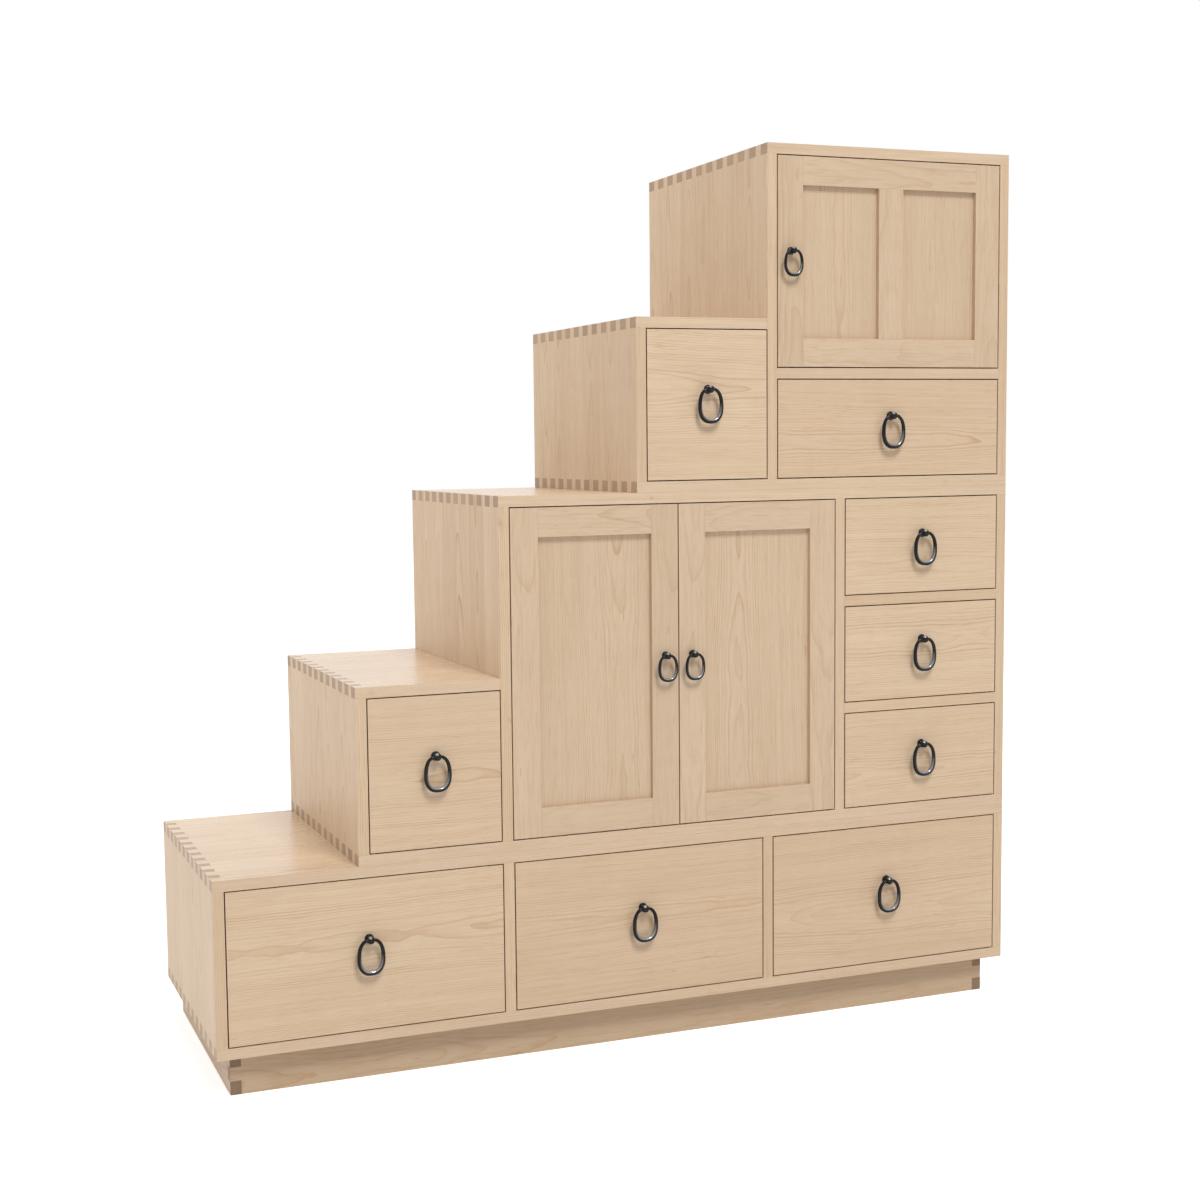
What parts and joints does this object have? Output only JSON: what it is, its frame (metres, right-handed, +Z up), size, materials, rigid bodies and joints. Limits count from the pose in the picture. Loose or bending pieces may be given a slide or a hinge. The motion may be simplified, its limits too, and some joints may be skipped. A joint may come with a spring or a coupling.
{
  "type": "step chest",
  "caption": "Stepped wooden chest: three finger-jointed chests stacked on a plinth, with inset drawers, frame-and-panel doors and black iron ring pulls.",
  "frame": {"origin": "on the floor, under the middle of the whole object's box, ring pulls included", "axes": "+Z up, the longest side; +Y from the front to the back, the shortest side; +X to the right, the way the steps climb"},
  "size_m": [1.524, 0.528, 1.6],
  "materials": {
    "carcass_wood": "clear satin oil on pale maple, with darker end grain at the joints",
    "drawer_wood": "clear satin oil on pale maple, grain across the fronts",
    "door_wood": "clear satin oil on pale maple, grain upright",
    "black_iron": "forged, blackened and waxed to a soft gloss"
  },
  "bodies": {
    "carcass": {"plinth_rails": "carcass_wood", "low_chest_sides": "carcass_wood", "low_chest_bottom": "carcass_wood", "low_chest_top": "carcass_wood", "low_chest_dividers": "carcass_wood", "middle_chest_left_side": "carcass_wood", "middle_chest_right_side": "carcass_wood", "middle_chest_step_side": "carcass_wood", "middle_chest_bottom": "carcass_wood", "middle_chest_top": "carcass_wood", "middle_chest_step_top": "carcass_wood", "middle_chest_partitions": "carcass_wood", "high_chest_left_side": "carcass_wood", "high_chest_right_side": "carcass_wood", "high_chest_step_side": "carcass_wood", "high_chest_bottom": "carcass_wood", "high_chest_top": "carcass_wood", "high_chest_step_top": "carcass_wood", "high_chest_shelf": "carcass_wood", "back_panels": "carcass_wood", "door_stops": "carcass_wood"},
    "drawer_low_left": {"drawer_low_left": "drawer_wood", "drawer_low_left_post": "black_iron"},
    "drawer_low_left_ring": {"drawer_low_left_ring": "black_iron"},
    "drawer_low_middle": {"drawer_low_middle": "drawer_wood", "drawer_low_middle_post": "black_iron"},
    "drawer_low_middle_ring": {"drawer_low_middle_ring": "black_iron"},
    "drawer_low_right": {"drawer_low_right": "drawer_wood", "drawer_low_right_post": "black_iron"},
    "drawer_low_right_ring": {"drawer_low_right_ring": "black_iron"},
    "drawer_low_step": {"drawer_low_step": "drawer_wood", "drawer_low_step_post": "black_iron"},
    "drawer_low_step_ring": {"drawer_low_step_ring": "black_iron"},
    "drawer_high_step": {"drawer_high_step": "drawer_wood", "drawer_high_step_post": "black_iron"},
    "drawer_high_step_ring": {"drawer_high_step_ring": "black_iron"},
    "drawer_column_bottom": {"drawer_column_bottom": "drawer_wood", "drawer_column_bottom_post": "black_iron"},
    "drawer_column_bottom_ring": {"drawer_column_bottom_ring": "black_iron"},
    "drawer_column_middle": {"drawer_column_middle": "drawer_wood", "drawer_column_middle_post": "black_iron"},
    "drawer_column_middle_ring": {"drawer_column_middle_ring": "black_iron"},
    "drawer_column_top": {"drawer_column_top": "drawer_wood", "drawer_column_top_post": "black_iron"},
    "drawer_column_top_ring": {"drawer_column_top_ring": "black_iron"},
    "drawer_high_wide": {"drawer_high_wide": "drawer_wood", "drawer_high_wide_post": "black_iron"},
    "drawer_high_wide_ring": {"drawer_high_wide_ring": "black_iron"},
    "door_low_left": {"door_low_left_frame": "door_wood", "door_low_left_panel": "door_wood", "door_low_left_ironwork": "black_iron"},
    "door_low_left_ring": {"door_low_left_ring": "black_iron"},
    "door_low_right": {"door_low_right_frame": "door_wood", "door_low_right_panel": "door_wood", "door_low_right_ironwork": "black_iron"},
    "door_low_right_ring": {"door_low_right_ring": "black_iron"},
    "door_high": {"door_high_frame": "door_wood", "door_high_panel": "door_wood", "door_high_ironwork": "black_iron"},
    "door_high_ring": {"door_high_ring": "black_iron"}
  },
  "joints": [
    {"name": "drawer_low_left_slide", "type": "slide", "parent": "carcass", "child": "drawer_low_left", "axis": [0, -1, 0], "range_m": [0, 0.32]},
    {"name": "drawer_low_left_ring_swing", "type": "hinge", "parent": "drawer_low_left", "child": "drawer_low_left_ring", "pos_m": [-0.50062, -0.256, 0.2485], "axis": [-1, 0, 0], "range_deg": [-5, 170]},
    {"name": "drawer_low_middle_slide", "type": "slide", "parent": "carcass", "child": "drawer_low_middle", "axis": [0, -1, 0], "range_m": [0, 0.32]},
    {"name": "drawer_low_middle_ring_swing", "type": "hinge", "parent": "drawer_low_middle", "child": "drawer_low_middle_ring", "pos_m": [0.00263, -0.256, 0.2485], "axis": [-1, 0, 0], "range_deg": [-5, 170]},
    {"name": "drawer_low_right_slide", "type": "slide", "parent": "carcass", "child": "drawer_low_right", "axis": [0, -1, 0], "range_m": [0, 0.32]},
    {"name": "drawer_low_right_ring_swing", "type": "hinge", "parent": "drawer_low_right", "child": "drawer_low_right_ring", "pos_m": [0.50325, -0.256, 0.2485], "axis": [-1, 0, 0], "range_deg": [-5, 170]},
    {"name": "drawer_low_step_slide", "type": "slide", "parent": "carcass", "child": "drawer_low_step", "axis": [0, -1, 0], "range_m": [0, 0.32]},
    {"name": "drawer_low_step_ring_swing", "type": "hinge", "parent": "drawer_low_step", "child": "drawer_low_step_ring", "pos_m": [-0.37825, -0.256, 0.55025], "axis": [-1, 0, 0], "range_deg": [-5, 170]},
    {"name": "drawer_high_step_slide", "type": "slide", "parent": "carcass", "child": "drawer_high_step", "axis": [0, -1, 0], "range_m": [0, 0.32]},
    {"name": "drawer_high_step_ring_swing", "type": "hinge", "parent": "drawer_high_step", "child": "drawer_high_step_ring", "pos_m": [0.13575, -0.256, 1.166], "axis": [-1, 0, 0], "range_deg": [-5, 170]},
    {"name": "drawer_column_bottom_slide", "type": "slide", "parent": "carcass", "child": "drawer_column_bottom", "axis": [0, -1, 0], "range_m": [0, 0.32]},
    {"name": "drawer_column_bottom_ring_swing", "type": "hinge", "parent": "drawer_column_bottom", "child": "drawer_column_bottom_ring", "pos_m": [0.578, -0.256, 0.50275], "axis": [-1, 0, 0], "range_deg": [-5, 170]},
    {"name": "drawer_column_middle_slide", "type": "slide", "parent": "carcass", "child": "drawer_column_middle", "axis": [0, -1, 0], "range_m": [0, 0.32]},
    {"name": "drawer_column_middle_ring_swing", "type": "hinge", "parent": "drawer_column_middle", "child": "drawer_column_middle_ring", "pos_m": [0.578, -0.256, 0.70125], "axis": [-1, 0, 0], "range_deg": [-5, 170]},
    {"name": "drawer_column_top_slide", "type": "slide", "parent": "carcass", "child": "drawer_column_top", "axis": [0, -1, 0], "range_m": [0, 0.32]},
    {"name": "drawer_column_top_ring_swing", "type": "hinge", "parent": "drawer_column_top", "child": "drawer_column_top_ring", "pos_m": [0.578, -0.256, 0.89975], "axis": [-1, 0, 0], "range_deg": [-5, 170]},
    {"name": "drawer_high_wide_slide", "type": "slide", "parent": "carcass", "child": "drawer_high_wide", "axis": [0, -1, 0], "range_m": [0, 0.32]},
    {"name": "drawer_high_wide_ring_swing", "type": "hinge", "parent": "drawer_high_wide", "child": "drawer_high_wide_ring", "pos_m": [0.50825, -0.256, 1.11725], "axis": [-1, 0, 0], "range_deg": [-5, 170]},
    {"name": "door_low_left_turn", "type": "hinge", "parent": "carcass", "child": "door_low_left", "pos_m": [-0.229, -0.2385, 0.67925], "axis": [0, 0, 1], "range_deg": [-100, 0]},
    {"name": "door_low_left_ring_swing", "type": "hinge", "parent": "door_low_left", "child": "door_low_left_ring", "pos_m": [0.05025, -0.256, 0.69825], "axis": [-1, 0, 0], "range_deg": [-5, 170]},
    {"name": "door_low_right_turn", "type": "hinge", "parent": "carcass", "child": "door_low_right", "pos_m": [0.3825, -0.2385, 0.67925], "axis": [0, 0, -1], "range_deg": [-100, 0]},
    {"name": "door_low_right_ring_swing", "type": "hinge", "parent": "door_low_right", "child": "door_low_right_ring", "pos_m": [0.10325, -0.256, 0.69825], "axis": [-1, 0, 0], "range_deg": [-5, 170]},
    {"name": "door_high_turn", "type": "hinge", "parent": "carcass", "child": "door_high", "pos_m": [0.7315, -0.2385, 1.3925], "axis": [0, 0, -1], "range_deg": [-100, 0]},
    {"name": "door_high_ring_swing", "type": "hinge", "parent": "door_high", "child": "door_high_ring", "pos_m": [0.301, -0.256, 1.4115], "axis": [-1, 0, 0], "range_deg": [-5, 170]}
  ]
}
